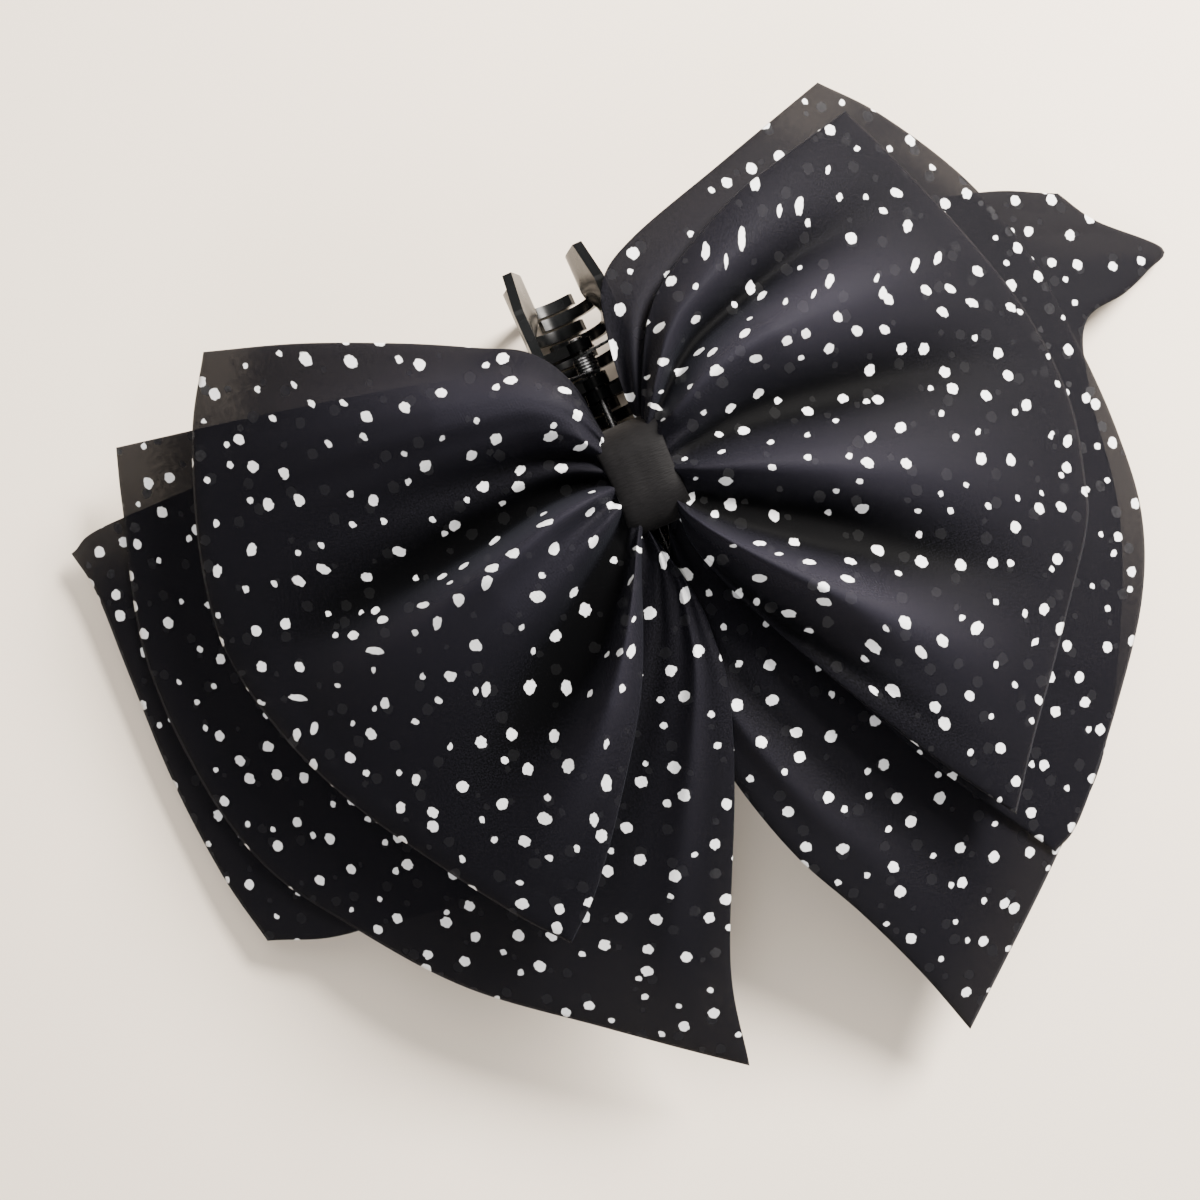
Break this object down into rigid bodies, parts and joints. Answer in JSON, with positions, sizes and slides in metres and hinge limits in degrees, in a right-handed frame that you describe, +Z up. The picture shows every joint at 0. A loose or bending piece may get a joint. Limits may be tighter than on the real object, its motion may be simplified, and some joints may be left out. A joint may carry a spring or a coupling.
{
  "type": "hair bow claw clip",
  "caption": "Layered dotted chiffon hair bow with tails and a satin centre band, carried on a long claw clip with curved interlocking teeth.",
  "frame": {"origin": "on the surface the clip stands on, at the claw's mouth where the teeth cross, under the knot", "axes": "+X along the bow's width, +Y along the clip's hinge towards the bow's upper edge, +Z up through the knot"},
  "size_m": [0.288, 0.2335, 0.0667],
  "materials": {
    "chiffon": "sheer black chiffon printed with small white dots",
    "satin": "black satin ribbon",
    "thread": "waxed black thread",
    "felt": "black felt",
    "plastic": "moulded, glossy black",
    "steel": "bright spring steel"
  },
  "bodies": {
    "bow": {"front_strip": "chiffon", "middle_strip": "chiffon", "back_strip": "chiffon", "gather_thread": "thread", "centre_band": "satin", "felt_pad": "felt", "bow_bracket": "plastic", "jaw_left": "plastic", "hinge_pin": "steel", "pin_cap": "steel", "spring_upper": "steel", "spring_lower": "steel"},
    "jaw": {"jaw_right": "plastic"}
  },
  "joints": [
    {"name": "jaw_open", "type": "hinge", "parent": "bow", "child": "jaw", "pos_m": [0, 0, 0.034], "axis": [0, -1, 0], "range_deg": [0, 40], "stiffness_Nm_per_rad": 0.05, "springref_deg": -34.38, "deforming": ["spring_upper", "spring_lower"]}
  ]
}
